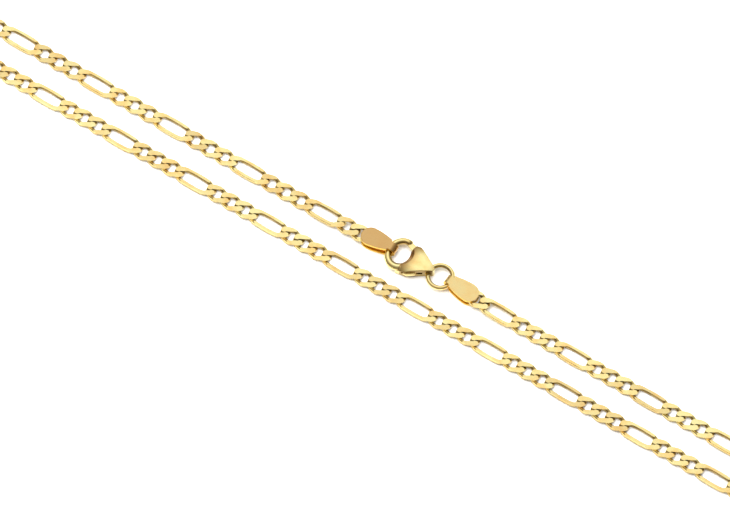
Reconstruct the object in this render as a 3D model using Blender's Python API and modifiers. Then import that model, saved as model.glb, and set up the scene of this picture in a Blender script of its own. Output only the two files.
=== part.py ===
"""A figaro neck chain, clasped and laid out as a long closed loop.

Frame: metres, +Z up, resting on z = 0. The two straight strands run along X, one on each side of
the X axis, and the clasp sits in the strand on the +Y side. The chain opens out into a round turn
at each end. The origin is the middle of the loop, on the surface that it lies on.
"""
import math

import bmesh
import bpy
from mathutils import Matrix, Vector

MM = 0.001

# Links: three short ones and a long one, in turn
WIRE_WIDTH = 1.00 * MM
WIRE_HEIGHT = 0.80 * MM
CHAIN_WIDTH = 3.50 * MM
CHAIN_THICKNESS = 0.95 * MM
SHORT_LINK_LENGTH = 5.10 * MM
LONG_LINK_LENGTH = 9.10 * MM
LINK_END_REACH = 1.46 * MM
CROSSING_RISE = 0.50 * MM
CROWN_SHARE = 0.27
INNER_EDGE_SHARE = 0.70
SHORT_LINKS_BETWEEN = 3
PATTERN_REPEATS = 25
FUSE_BITE = 0.10 * MM
RUNNING_GAP = 0.10 * MM

# Sections round one end of a link, as shares of the end's reach, of the wire's distance from the
# link's middle line, of the rise at a crossing and of the wire's width
LINK_END_SECTIONS = (
    (-0.40, -1.04, 0.00, 0.85),
    (0.49, -0.69, 1.00, 1.00),
    (1.00, -0.36, 0.90, 1.20),
    (1.00, 0.36, -0.90, 1.20),
    (0.49, 0.69, -1.00, 1.00),
)
LONG_BAR_SECTION = (-0.40, 1.04, 0.00, 0.85)

# Route of the loop
STRAND_SPACING = 7.36 * MM
TURN_RADIUS = 8.50 * MM
TURN_BLEND_RADIUS = 10.0 * MM
RING_SIDE_STRAIGHT = 61.70 * MM
LIFT_RUN = 10.0 * MM
NEAR_STRAND_SLACK = 0.033 * MM
HOOK_STRAND_PULL = 0.09 * MM
STRAND_SHARE = 0.99

# End tabs, each a strip folded round a wire, with a short link soldered between its plates
PLATE_THICKNESS = 0.50 * MM
TAB_LENGTH = 6.30 * MM
TAB_WIDTH = 3.75 * MM
TAB_SHOULDER = 2.40 * MM
TAB_NECK = 1.70 * MM
TAB_NECK_LENGTH = 0.30 * MM
END_LINK_OUT = 0.10 * MM
SOLDER_BITE = 0.03 * MM
FOLD_STEPS = 8
ROUND_END_DEGREES = (75, 52, 26, 0)
PLATE_SHARES = (0.72, 0.44, 0.16)
FITTING_GAP = 0.10 * MM

# Jump ring
RING_DIAMETER = 5.65 * MM
RING_WIRE = 0.90 * MM
RING_STEPS = 24
RING_WIRE_SIDES = 8

# Clasp, with the lever's pivot as its own origin and its eye towards +X
CLASP_OFFSET = 0.22 * MM
PIVOT_TO_EYE = 2.75 * MM
EYE_OFFSET = 0.25 * MM
EYE_GAP = 0.15 * MM
EYE_WALL = 0.40 * MM
HOOK_HALF_LENGTH = 2.40 * MM
HOOK_HALF_WIDTH = 2.85 * MM
HOOK_CENTRE_X = -3.65 * MM
HOOK_CENTRE_Y = 0.15 * MM
HOOK_ROOT_WIRE = 1.55 * MM
HOOK_TIP_WIRE = 1.20 * MM
HOOK_ROOT_ANGLE = math.radians(-58)
HOOK_TIP_ANGLE = math.radians(78)
HOOK_BEVEL_SLOPE = math.radians(62)
HOOK_OVERRUN = math.radians(24)
HOOK_STEPS = 20
HOOK_WIRE_FACETS = 3
BODY_HEIGHT = 2.75 * MM
BODY_FOOT = 0.08 * MM
BODY_DOME_LENGTH = 10.4 * MM
BODY_DOME_WIDTH = 9.4 * MM
BODY_DOME_DROP = 2.20 * MM
BODY_DOME_X = 0.70 * MM
BODY_SHIFT = -0.20 * MM
SHOULDER_WIDTH = 6.10 * MM
SHOULDER_X = -0.80 * MM
SHOULDER_SLANT = 1.05 * MM
SHOULDER_DROP = 0.12 * MM
MOUTH_FLOOR = 0.45 * MM
MOUTH_FLARE = 1.50
OPENING_DEGREES = range(32, -76, -18)
OPENING_END = math.radians(-76)
TAIL_WIDTH = 1.10 * MM
TAIL_TIP_WIDTH = 0.44 * MM
SLOT_HEIGHT = 0.70 * MM
SLOT_FRONT = 1.60 * MM
SLOT_BACK = 1.95 * MM
GATE_SLOT_FRONT = 2.50 * MM
LEVER_THICKNESS = 0.50 * MM
GATE_WIDTH = 1.10 * MM
GATE_SINK = 0.18 * MM
PIN_DIAMETER = 0.70 * MM
PIN_GAP = 0.06 * MM
GATE_NECK_RUN = 0.70 * MM
GATE_NECK_DROP = 0.28 * MM
LEVER_FRONT = 1.25 * MM
LEVER_WAIST = 1.05 * MM
LEVER_BACK = 0.92 * MM
LEVER_INSIDE = 1.43 * MM
GATE_BACK = ((0.40 * MM, 1.80 * MM), (-0.60 * MM, 2.65 * MM))
WING_PROUD = 0.20 * MM
WING_LENGTH = 0.85 * MM

LINK_GRIP = 2 * WIRE_WIDTH - FUSE_BITE
SHORT_PITCH = SHORT_LINK_LENGTH - LINK_GRIP
STRAND_Y = STRAND_SPACING / 2
RING_RADIUS = (RING_DIAMETER - RING_WIRE) / 2
PIVOT_Y = STRAND_Y + CLASP_OFFSET
HOOK_LEFT_WIRE = (HOOK_ROOT_WIRE + HOOK_TIP_WIRE) / 2
RING_HEIGHT = PLATE_THICKNESS + FITTING_GAP + RING_WIRE / 2
CLASP_HEIGHT = PLATE_THICKNESS + FITTING_GAP + HOOK_LEFT_WIRE / 2
END_LINK_HEIGHT = PLATE_THICKNESS - SOLDER_BITE + CHAIN_THICKNESS / 2
END_LINK_JOINT = TAB_LENGTH + END_LINK_OUT + SHORT_PITCH / 2
HOOK_END_RADIUS = HOOK_HALF_WIDTH ** 2 / HOOK_HALF_LENGTH
BODY_MIDDLE_Y = EYE_OFFSET + BODY_SHIFT
BODY_LOW_SIDE = BODY_MIDDLE_Y - SHOULDER_WIDTH / 2


def clear_scene():
    for old in list(bpy.data.objects):
        bpy.data.objects.remove(old, do_unlink=True)


def new_collection(name):
    group = bpy.data.collections.new(name)
    bpy.context.scene.collection.children.link(group)
    return group


def metal(name, colour, roughness):
    material = bpy.data.materials.new(name)
    material.use_nodes = True
    shader = material.node_tree.nodes["Principled BSDF"]
    shader.inputs["Base Color"].default_value = (*colour, 1.0)
    shader.inputs["Metallic"].default_value = 1.0
    shader.inputs["Roughness"].default_value = roughness
    return material


def add_mesh_object(name, mesh, group, material=None):
    item = bpy.data.objects.new(name, mesh)
    group.objects.link(item)
    if material:
        mesh.materials.append(material)
        mesh.shade_smooth()
        mesh.set_sharp_from_angle(angle=math.radians(35))
    return item


def finish_bmesh(shape, name):
    bmesh.ops.recalc_face_normals(shape, faces=shape.faces)
    mesh = bpy.data.meshes.new(name)
    shape.to_mesh(mesh)
    shape.free()
    return mesh


def make_cutter(item):
    item.hide_render = True
    item.display_type = 'WIRE'
    return item


def add_boolean(item, other, operation):
    modifier = item.modifiers.new(operation.title(), 'BOOLEAN')
    modifier.operation = operation
    modifier.object = other
    modifier.solver = 'EXACT'
    return modifier


# Links

def link_sections(length):
    """Centre, outward direction, rise and width share of each section round a link along X."""
    half_width = (CHAIN_WIDTH - WIRE_WIDTH) / 2
    end_centre = (length - WIRE_WIDTH) / 2 - LINK_END_REACH
    rows = list(LINK_END_SECTIONS)
    if length > SHORT_LINK_LENGTH:
        rows.append(LONG_BAR_SECTION)
    places = []
    for side in (1, -1):
        for along, across, rise, width in rows:
            centre = Vector((end_centre + LINK_END_REACH * along, half_width * across, 0))
            places.append((side * centre, CROSSING_RISE * rise, width))
    sections = []
    for index, (centre, rise, width) in enumerate(places):
        before = places[index - 1][0]
        after = places[(index + 1) % len(places)][0]
        along = (after - before).normalized()
        sections.append((centre, Vector((along.y, -along.x, 0)), rise, width))
    return sections


def wire_profile():
    """Five corners of the wire: how far out from the link's middle, and how high."""
    half = WIRE_WIDTH / 2
    top = WIRE_HEIGHT / 2
    crown = CROWN_SHARE * half
    edge = INNER_EDGE_SHARE * top
    return [(half, 0), (crown, top), (-half, edge), (-half, -edge), (crown, -top)]


def tip_overlap():
    """How far the tips of two neighbouring links reach into each other."""
    centre, outward, _, width = link_sections(SHORT_LINK_LENGTH)[2]
    inside = (centre - outward * width * WIRE_WIDTH / 2).x
    return SHORT_PITCH - 2 * inside


def add_link(shape, length, place):
    """Loft one link through its sections, with its top and bottom milled flat."""
    milled = CHAIN_THICKNESS / 2
    loops = []
    for centre, outward, rise, width in link_sections(length):
        loop = []
        for out, up in wire_profile():
            point = centre + outward * out * width
            point.z = max(-milled, min(milled, rise + up))
            loop.append(shape.verts.new(place @ point))
        loops.append(loop)
    for current, following in zip(loops, loops[1:] + loops[:1]):
        for index in range(len(current)):
            after = (index + 1) % len(current)
            shape.faces.new((current[index], following[index], current[after]))
            shape.faces.new((following[index], following[after], current[after]))


# Route of the chain

def turn_angle():
    """How far the chain swings outward before the round turn brings it back."""
    return math.acos((STRAND_Y + TURN_BLEND_RADIUS) / (TURN_RADIUS + TURN_BLEND_RADIUS))


def route_legs(ring_end_x, hook_end_x, start_x, finish_x):
    """Legs of the route as (length, curvature), from the ring side round to the hook side."""
    swing = turn_angle()
    blend = (TURN_BLEND_RADIUS * swing, 1 / TURN_BLEND_RADIUS)
    turn = (TURN_RADIUS * (math.pi + 2 * swing), -1 / TURN_RADIUS)
    round_end = [blend, turn, blend]
    legs = [(ring_end_x - start_x, 0.0)] + round_end
    legs += [(ring_end_x - hook_end_x, 0.0)] + round_end
    legs += [(finish_x - hook_end_x, 0.0)]
    return legs


def point_on(legs, start, distance):
    """The point of the route at a distance along it."""
    x, y = start
    heading = 0.0
    left = distance
    for index, (length, curvature) in enumerate(legs):
        last = index == len(legs) - 1
        step = left if last else min(left, length)
        if curvature:
            turned = heading + curvature * step
            x += (math.sin(turned) - math.sin(heading)) / curvature
            y += (math.cos(heading) - math.cos(turned)) / curvature
            heading = turned
        else:
            x += step * math.cos(heading)
            y += step * math.sin(heading)
        left -= step
        if left <= 0:
            break
    total = sum(length for length, _ in legs)
    lift = END_LINK_HEIGHT - CHAIN_THICKNESS / 2
    from_end = min(distance, total - distance)
    z = CHAIN_THICKNESS / 2 + lift * max(0.0, 1 - max(0.0, from_end) / LIFT_RUN)
    return Vector((x, y, z))


def link_lengths():
    """Lengths of the loose links in order, from the ring side round to the hook side."""
    group = [SHORT_LINK_LENGTH] * SHORT_LINKS_BETWEEN + [LONG_LINK_LENGTH]
    return [LONG_LINK_LENGTH] + group * PATTERN_REPEATS + [SHORT_LINK_LENGTH]


def pull_at(point):
    """How much further apart than usual two links lie at a point of the route."""
    if point.y < -STRAND_SHARE * STRAND_Y:
        return -NEAR_STRAND_SLACK
    if point.y > STRAND_SHARE * STRAND_Y and point.x < 0:
        return HOOK_STRAND_PULL
    return 0.0


def walk(legs, start, lengths, split):
    """Step along the route one link at a time. Returns each link's two ends and the distance walked."""
    loose = tip_overlap() + RUNNING_GAP
    distance = -loose
    ends = []
    for number, length in enumerate(lengths):
        if number == split:
            distance -= loose
        elif number > 0:
            distance += pull_at(point_on(legs, start, distance))
        pitch = length - LINK_GRIP
        here = point_on(legs, start, distance)
        low, high = distance, distance + 1.5 * pitch
        for _ in range(40):
            middle = (low + high) / 2
            if (point_on(legs, start, middle) - here).length < pitch:
                low = middle
            else:
                high = middle
        distance = high
        ends.append((here, point_on(legs, start, distance)))
    return ends, distance - loose


def close_route(start_x, finish_x, lengths, split):
    """Place the turn on the hook side so that the last link just reaches its tab."""
    ring_end_x = start_x + RING_SIDE_STRAIGHT
    hook_end_x = finish_x - RING_SIDE_STRAIGHT
    for _ in range(8):
        legs = route_legs(ring_end_x, hook_end_x, start_x, finish_x)
        ends, walked = walk(legs, (start_x, STRAND_Y), lengths, split)
        total = sum(length for length, _ in legs)
        hook_end_x += (total - walked) / 2
    return ends, ring_end_x, hook_end_x


def link_place(first, second):
    """Matrix that lays a link between two points, flats up, high enough that its lower end clears."""
    along = (second - first).normalized()
    across = Vector((0, 0, 1)).cross(along).normalized()
    up = along.cross(across)
    turn = Matrix((along, across, up)).transposed().to_4x4()
    lift = Vector((0, 0, abs(along.z) * WIRE_WIDTH))
    return Matrix.Translation((first + second) / 2 + lift) @ turn


def build_chain(name, lengths, ends, group, cutters, material, parent):
    """Fuse a run of links: every other link is one mesh, and the links between join them."""
    meshes = []
    for odd in (0, 1):
        shape = bmesh.new()
        for number, (length, (first, second)) in enumerate(zip(lengths, ends)):
            if number % 2 == odd:
                add_link(shape, length, link_place(first, second))
        meshes.append(finish_bmesh(shape, name + ("_links" if odd == 0 else "_between")))
    chain = add_mesh_object(name, meshes[0], group, material)
    between = make_cutter(add_mesh_object(name + "_between", meshes[1], cutters))
    for item in (chain, between):
        item.parent = parent
    add_boolean(chain, between, 'UNION')
    return chain


# Fittings

def strip_half_width(x):
    """Half the width of a tab's plate at a distance from the middle of its fold."""
    round_centre = TAB_LENGTH - TAB_WIDTH / 2
    if x <= TAB_NECK_LENGTH:
        return TAB_NECK / 2
    if x >= round_centre:
        return math.sqrt(max(0.0, (TAB_WIDTH / 2) ** 2 - (x - round_centre) ** 2))
    share = (x - TAB_NECK_LENGTH) / (round_centre - TAB_NECK_LENGTH)
    return TAB_SHOULDER / 2 + (TAB_WIDTH - TAB_SHOULDER) / 2 * math.sin(share * math.pi / 2)


def tab_strip(name, wire, wire_height):
    """Middle surface of a strip folded round a wire: lower plate, fold, upper plate."""
    fold = wire / 2 + FITTING_GAP + PLATE_THICKNESS / 2
    round_centre = TAB_LENGTH - TAB_WIDTH / 2
    low_z = PLATE_THICKNESS / 2
    high_end_z = low_z + PLATE_THICKNESS + CHAIN_THICKNESS - 2 * SOLDER_BITE
    outs = [round_centre + TAB_WIDTH / 2 * math.sin(math.radians(a)) for a in ROUND_END_DEGREES]
    outs += [round_centre * share for share in PLATE_SHARES] + [TAB_NECK_LENGTH]
    line = [(x, low_z, strip_half_width(x)) for x in outs]
    for step in range(FOLD_STEPS + 1):
        angle = -math.pi * (0.5 + step / FOLD_STEPS)
        line.append((fold * math.cos(angle), wire_height + fold * math.sin(angle), TAB_NECK / 2))
    high_z = wire_height + fold
    for x in reversed(outs):
        share = x / TAB_LENGTH
        line.append((x, high_z + (high_end_z - high_z) * share, strip_half_width(x)))
    shape = bmesh.new()
    rows = []
    for x, z, half_width in line:
        rows.append([shape.verts.new((x, -half_width, z)), shape.verts.new((x, half_width, z))])
    for current, following in zip(rows, rows[1:]):
        shape.faces.new((current[0], current[1], following[1], following[0]))
    return finish_bmesh(shape, name)


def build_tab(name, wire, wire_height, place, group, cutters, material, parent):
    """A folded tab with a short link soldered between its plates."""
    tab = add_mesh_object(name, tab_strip(name, wire, wire_height), group, material)
    solid = tab.modifiers.new("Plate", 'SOLIDIFY')
    solid.thickness = PLATE_THICKNESS
    solid.offset = 0.0
    solid.use_even_offset = True
    shape = bmesh.new()
    middle = Vector((TAB_LENGTH + END_LINK_OUT, 0, END_LINK_HEIGHT))
    add_link(shape, SHORT_LINK_LENGTH, Matrix.Translation(middle))
    end_link = make_cutter(add_mesh_object(name + "_link", finish_bmesh(shape, name + "_link"), cutters))
    add_boolean(tab, end_link, 'UNION')
    for item in (tab, end_link):
        item.parent = parent
        item.location = place.to_translation()
        item.rotation_euler = place.to_euler()
    return tab


def tab_place(fold_x, fold_y, direction):
    """Place of a tab whose link ends on the strand. Direction is 1 towards +X and -1 towards -X."""
    lean = math.asin((STRAND_Y - fold_y) / END_LINK_JOINT)
    turn = lean if direction > 0 else math.pi - lean
    return Matrix.Translation((fold_x, fold_y, 0)) @ Matrix.Rotation(turn, 4, 'Z')


def wire_sagitta(radius):
    """How far a round wire curves away over the width of a tab's neck."""
    return radius - math.sqrt(radius ** 2 - (TAB_NECK / 2) ** 2)


def build_ring(group, material, parent, centre):
    bpy.ops.mesh.primitive_torus_add(major_segments=RING_STEPS, minor_segments=RING_WIRE_SIDES,
                                     major_radius=RING_RADIUS, minor_radius=RING_WIRE / 2,
                                     location=centre)
    ring = bpy.context.object
    ring.name = "jump_ring"
    move_to(ring, group)
    ring.data.materials.append(material)
    ring.data.shade_smooth()
    ring.parent = parent
    return ring


def move_to(item, group):
    for old in list(item.users_collection):
        old.objects.unlink(item)
    group.objects.link(item)


def prism(name, outline, low, high):
    """Upright solid with the given outline."""
    shape = bmesh.new()
    floor = [shape.verts.new((x, y, low)) for x, y in outline]
    face = shape.faces.new(floor)
    raised = bmesh.ops.extrude_face_region(shape, geom=[face])
    moved = [v for v in raised["geom"] if isinstance(v, bmesh.types.BMVert)]
    bmesh.ops.translate(shape, verts=moved, vec=(0, 0, high - low))
    return finish_bmesh(shape, name)


def hook_point(angle, outside=0.0):
    """A point on the oval middle line of the hook's wire, or at a distance outside it."""
    return (HOOK_CENTRE_X + (HOOK_HALF_LENGTH + outside) * math.cos(angle),
            HOOK_CENTRE_Y + (HOOK_HALF_WIDTH + outside) * math.sin(angle))


def bevel_axes():
    """Point, direction and hook-side normal of the slanted seat between hook and gate."""
    point = Vector(hook_point(HOOK_TIP_ANGLE))
    along = Vector((math.cos(HOOK_BEVEL_SLOPE), math.sin(HOOK_BEVEL_SLOPE)))
    normal = Vector((-along.y, along.x))
    return point, along, normal


def body_outline():
    """Plan of the clasp's body: shoulders, the side towards the hook's opening, and the tail."""
    half = SHOULDER_WIDTH / 2
    tip_x = PIVOT_TO_EYE + RING_WIRE / 2 + EYE_GAP + EYE_WALL
    tail = TAIL_WIDTH / 2
    outline = [(SHOULDER_X, BODY_MIDDLE_Y + half)]
    outline += [(SHOULDER_X - SHOULDER_SLANT, BODY_MIDDLE_Y + half - SHOULDER_DROP)]
    outline += [hook_point(math.radians(a), -HOOK_TIP_WIRE / 2) for a in OPENING_DEGREES]
    outline += [hook_point(OPENING_END, HOOK_ROOT_WIRE / 2)]
    outline += [(SHOULDER_X, BODY_LOW_SIDE)]
    outline += [(tip_x - tail, EYE_OFFSET - tail)]
    outline += [(tip_x, EYE_OFFSET - TAIL_TIP_WIDTH / 2), (tip_x, EYE_OFFSET + TAIL_TIP_WIDTH / 2)]
    outline += [(tip_x - tail, EYE_OFFSET + tail)]
    return outline


def hook_wire(cutters):
    """The hook as a tapering wire round its opening, as a closed mesh."""
    curve = bpy.data.curves.new("hook_wire", 'CURVE')
    curve.dimensions = '3D'
    curve.bevel_depth = HOOK_ROOT_WIRE / 2
    curve.bevel_resolution = HOOK_WIRE_FACETS
    curve.use_fill_caps = True
    sweep = math.tau - (HOOK_TIP_ANGLE - HOOK_OVERRUN) + HOOK_ROOT_ANGLE
    spline = curve.splines.new('POLY')
    spline.points.add(HOOK_STEPS)
    for index, point in enumerate(spline.points):
        share = index / HOOK_STEPS
        x, y = hook_point(HOOK_ROOT_ANGLE - share * sweep)
        point.co = (x, y, 0, 1)
        point.radius = 1 + (HOOK_TIP_WIRE / HOOK_ROOT_WIRE - 1) * share
    wire = bpy.data.objects.new("hook_curve", curve)
    bpy.context.scene.collection.objects.link(wire)
    graph = bpy.context.evaluated_depsgraph_get()
    mesh = bpy.data.meshes.new_from_object(wire.evaluated_get(graph))
    shape = bmesh.new()
    shape.from_mesh(mesh)
    bmesh.ops.remove_doubles(shape, verts=shape.verts, dist=0.001 * MM)
    shape.to_mesh(mesh)
    shape.free()
    hook = add_mesh_object("hook", mesh, cutters)
    hook.matrix_world = wire.matrix_world
    bpy.data.objects.remove(wire, do_unlink=True)
    return make_cutter(hook)


def bevel_cutter(cutters):
    """Block that trims the hook's tip along the slanted seat."""
    point, along, normal = bevel_axes()
    size = HOOK_HALF_LENGTH + HOOK_HALF_WIDTH
    edge = point + normal * FITTING_GAP / 2
    corners = [edge - along * size / 2, edge + along * size / 2]
    corners += [corner - normal * size / 2 for corner in reversed(corners)]
    mesh = prism("hook_trim", [tuple(c) for c in reversed(corners)], -HOOK_ROOT_WIRE, HOOK_ROOT_WIRE)
    return make_cutter(add_mesh_object("hook_trim", mesh, cutters))


def build_clasp(group, cutters, material, parent, ring_centre):
    """Hook, domed body, flared mouth, lever slot, eye and pivot pin as one solid."""
    foot = BODY_FOOT - CLASP_HEIGHT
    top = BODY_HEIGHT - CLASP_HEIGHT
    block = prism("clasp_body", body_outline(), foot, top)
    body = add_mesh_object("clasp_body", block, group, material)

    bpy.ops.mesh.primitive_uv_sphere_add(segments=24, ring_count=14, radius=1.0)
    dome = make_cutter(bpy.context.object)
    dome.name = "body_dome"
    dome.data.transform(Matrix.Diagonal((BODY_DOME_LENGTH / 2, BODY_DOME_WIDTH / 2, BODY_DOME_DROP, 1)))
    dome.location = (BODY_DOME_X, BODY_MIDDLE_Y, top - BODY_DOME_DROP)

    bpy.ops.mesh.primitive_cone_add(vertices=24, radius1=1.0, radius2=MOUTH_FLARE, depth=1.0)
    mouth = make_cutter(bpy.context.object)
    mouth.name = "flared_mouth"
    mouth_height = top - MOUTH_FLOOR
    mouth.data.transform(Matrix.Diagonal((HOOK_HALF_LENGTH - HOOK_TIP_WIRE / 2,
                                          HOOK_HALF_WIDTH - HOOK_TIP_WIRE / 2, mouth_height, 1)))
    mouth.location = (HOOK_CENTRE_X, HOOK_CENTRE_Y, MOUTH_FLOOR + mouth_height / 2)

    hook = hook_wire(cutters)
    add_boolean(hook, bevel_cutter(cutters), 'DIFFERENCE')

    slot_outline = [(-SLOT_FRONT, -SHOULDER_WIDTH), (SLOT_BACK, -SHOULDER_WIDTH),
                    (SLOT_BACK, SHOULDER_WIDTH), (-GATE_SLOT_FRONT, SHOULDER_WIDTH),
                    (-GATE_SLOT_FRONT, 0), (-SLOT_FRONT, 0)]
    slot_mesh = prism("lever_slot", slot_outline, -SLOT_HEIGHT / 2, SLOT_HEIGHT / 2)
    slot = make_cutter(add_mesh_object("lever_slot", slot_mesh, cutters))

    bpy.ops.mesh.primitive_torus_add(major_segments=RING_STEPS, minor_segments=RING_WIRE_SIDES,
                                     major_radius=RING_RADIUS, minor_radius=RING_WIRE / 2 + EYE_GAP)
    eye = make_cutter(bpy.context.object)
    eye.name = "eye_path"
    eye.location = (ring_centre - Vector((0, PIVOT_Y, CLASP_HEIGHT)))

    bpy.ops.mesh.primitive_cylinder_add(vertices=12, radius=PIN_DIAMETER / 2, depth=1.6 * SLOT_HEIGHT)
    pin = make_cutter(bpy.context.object)
    pin.name = "pivot_pin"

    for item in (dome, mouth, eye, pin):
        move_to(item, cutters)
    add_boolean(body, dome, 'INTERSECT')
    add_boolean(body, mouth, 'DIFFERENCE')
    add_boolean(body, hook, 'UNION')
    add_boolean(body, slot, 'DIFFERENCE')
    add_boolean(body, eye, 'DIFFERENCE')
    add_boolean(body, pin, 'UNION')
    for item in (body, dome, mouth, hook, slot, eye, pin, cutters.objects["hook_trim"]):
        item.parent = parent
    return body


def lever_outline():
    """Plan of the lever: gate, the part round the pivot, and the thumb wing on the -Y side."""
    point, along, normal = bevel_axes()
    seat = point - normal * FITTING_GAP / 2 - along * GATE_SINK
    gate_inner = seat - along * GATE_WIDTH / 2
    gate_outer = seat + along * GATE_WIDTH / 2
    side = BODY_LOW_SIDE
    wing = side - WING_PROUD
    outline = [tuple(gate_inner), (gate_inner.x + GATE_NECK_RUN, gate_inner.y - GATE_NECK_DROP)]
    outline += [(-LEVER_FRONT, LEVER_INSIDE), (-LEVER_WAIST, -PIN_DIAMETER / 2)]
    outline += [(-LEVER_FRONT, side * 3 / 4), (-LEVER_FRONT, wing), (WING_LENGTH - LEVER_FRONT, wing)]
    outline += [(LEVER_BACK, side * 3 / 4), (LEVER_BACK, PIN_DIAMETER / 2)]
    outline += list(GATE_BACK) + [tuple(gate_outer)]
    return outline


def build_lever(group, cutters, material, parent):
    """The sprung lever, whose origin is on its pivot."""
    half = LEVER_THICKNESS / 2
    mesh = prism("clasp_lever", lever_outline(), -half, half)
    lever = add_mesh_object("clasp_lever", mesh, group, material)
    bpy.ops.mesh.primitive_cylinder_add(vertices=16, radius=PIN_DIAMETER / 2 + PIN_GAP,
                                        depth=2 * SLOT_HEIGHT)
    hole = make_cutter(bpy.context.object)
    hole.name = "lever_hole"
    move_to(hole, cutters)
    add_boolean(lever, hole, 'DIFFERENCE')
    for item in (lever, hole):
        item.parent = parent
    return lever


def main():
    clear_scene()
    parts = new_collection("figaro_chain")
    cutters = new_collection("cutters")
    chain_gold = metal("chain_gold", (0.89, 0.67, 0.28), 0.16)
    fitting_gold = metal("fitting_gold", (0.86, 0.62, 0.25), 0.18)

    ring_centre = Vector((PIVOT_TO_EYE + RING_RADIUS, PIVOT_Y + EYE_OFFSET, RING_HEIGHT))
    ring_fold_x = ring_centre.x + RING_RADIUS - wire_sagitta(RING_RADIUS)
    hook_fold_x = HOOK_CENTRE_X - HOOK_HALF_LENGTH + wire_sagitta(HOOK_END_RADIUS)
    ring_place = tab_place(ring_fold_x, ring_centre.y, 1)
    hook_place = tab_place(hook_fold_x, PIVOT_Y + HOOK_CENTRE_Y, -1)
    joint = Vector((END_LINK_JOINT, 0, 0))
    start_x = (ring_place @ joint).x
    finish_x = (hook_place @ joint).x

    lengths = link_lengths()
    split = len(lengths) // 2
    ends, ring_end_x, hook_end_x = close_route(start_x, finish_x, lengths, split)
    middle_x = (ring_end_x + hook_end_x) / 2

    loop = bpy.data.objects.new("loop", None)
    parts.objects.link(loop)
    loop.location = (-middle_x, 0, 0)
    pivot = bpy.data.objects.new("clasp_pivot", None)
    parts.objects.link(pivot)
    pivot.parent = loop
    pivot.location = (0, PIVOT_Y, CLASP_HEIGHT)

    build_chain("chain_ring_side", lengths[:split], ends[:split], parts, cutters, chain_gold, loop)
    build_chain("chain_hook_side", lengths[split:], ends[split:], parts, cutters, chain_gold, loop)
    build_tab("ring_side_tab", RING_WIRE, RING_HEIGHT, ring_place, parts, cutters, fitting_gold, loop)
    build_tab("hook_side_tab", HOOK_LEFT_WIRE, CLASP_HEIGHT, hook_place, parts, cutters, fitting_gold, loop)
    build_ring(parts, fitting_gold, loop, ring_centre)
    build_clasp(parts, cutters, fitting_gold, pivot, ring_centre)
    build_lever(parts, cutters, fitting_gold, pivot)


main()
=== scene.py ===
"""Looks of a gold figaro neck chain, laid out on a pale surface.

Every piece is in metres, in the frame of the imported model: +X along the two straight strands, +Y
towards the strand with the clasp, +Z up. The first sizes below repeat the part's own, and the rest
belong to the smooth pieces and the stage. A user can change the finish, the finer shape and the
light in the sidebar.
"""

import math
import random

import bmesh
import bpy
from mathutils import Matrix, Vector


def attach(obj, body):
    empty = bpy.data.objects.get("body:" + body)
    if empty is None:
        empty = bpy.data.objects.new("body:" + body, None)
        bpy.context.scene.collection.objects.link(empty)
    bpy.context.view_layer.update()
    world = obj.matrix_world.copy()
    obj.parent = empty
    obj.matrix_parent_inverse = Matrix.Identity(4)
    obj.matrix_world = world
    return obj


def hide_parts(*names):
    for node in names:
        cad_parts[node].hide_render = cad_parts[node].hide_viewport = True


bl_info = {
    "name": "Figaro Chain",
    "version": (1, 0, 0),
    "blender": (4, 5, 0),
    "location": "View3D > Sidebar > Figaro Chain",
    "description": "Builds a gold figaro chain with its clasp, and the stage that it lies on",
    "category": "Object",
}

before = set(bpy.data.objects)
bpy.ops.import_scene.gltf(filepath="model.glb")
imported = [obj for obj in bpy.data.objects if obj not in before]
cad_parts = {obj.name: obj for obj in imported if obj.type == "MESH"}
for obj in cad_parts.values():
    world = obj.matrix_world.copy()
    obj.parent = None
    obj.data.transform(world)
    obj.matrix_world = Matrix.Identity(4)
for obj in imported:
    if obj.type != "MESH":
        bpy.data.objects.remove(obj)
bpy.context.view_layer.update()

MM = 0.001

# The part's own sizes of the links and of the loop
CHAIN_WIDTH = 3.50 * MM
CHAIN_THICKNESS = 0.95 * MM
WIRE_WIDTH = 1.00 * MM
SHORT_LINK_LENGTH = 5.10 * MM
LONG_LINK_LENGTH = 9.10 * MM
LINK_END_REACH = 1.46 * MM
CROSSING_RISE = 0.50 * MM
SHORT_LINKS_BETWEEN = 3
PATTERN_REPEATS = 25
FUSE_BITE = 0.10 * MM
RUNNING_GAP = 0.10 * MM
STRAND_Y = 3.68 * MM

# Sections round one end of a link, as shares of the end's reach, of the wire's distance from the
# link's middle line, of the rise at a crossing and of the wire's width
LINK_END_SECTIONS = (
    (-0.40, -1.04, 0.00, 0.85),
    (0.49, -0.69, 1.00, 1.00),
    (1.00, -0.36, 0.90, 1.20),
    (1.00, 0.36, -0.90, 1.20),
    (0.49, 0.69, -1.00, 1.00),
)
LONG_BAR_SECTION = (-0.40, 1.04, 0.00, 0.85)

# The part's own sizes of the route, the tabs, the jump ring, the clasp's body and its lever
TURN_RADIUS = 8.50 * MM
TURN_BLEND_RADIUS = 10.0 * MM
RING_SIDE_STRAIGHT = 61.70 * MM
LIFT_RUN = 10.0 * MM
NEAR_STRAND_SLACK = 0.033 * MM
HOOK_STRAND_PULL = 0.09 * MM
STRAND_SHARE = 0.99
PLATE_THICKNESS = 0.50 * MM
TAB_LENGTH = 6.30 * MM
TAB_WIDTH = 3.75 * MM
TAB_SHOULDER = 2.40 * MM
TAB_NECK = 1.70 * MM
TAB_NECK_LENGTH = 0.30 * MM
END_LINK_OUT = 0.10 * MM
SOLDER_BITE = 0.03 * MM
FITTING_GAP = 0.10 * MM
RING_DIAMETER = 5.65 * MM
RING_WIRE = 0.90 * MM
CLASP_OFFSET = 0.22 * MM
PIVOT_TO_EYE = 2.75 * MM
EYE_OFFSET = 0.25 * MM
EYE_GAP = 0.15 * MM
EYE_WALL = 0.40 * MM
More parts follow.
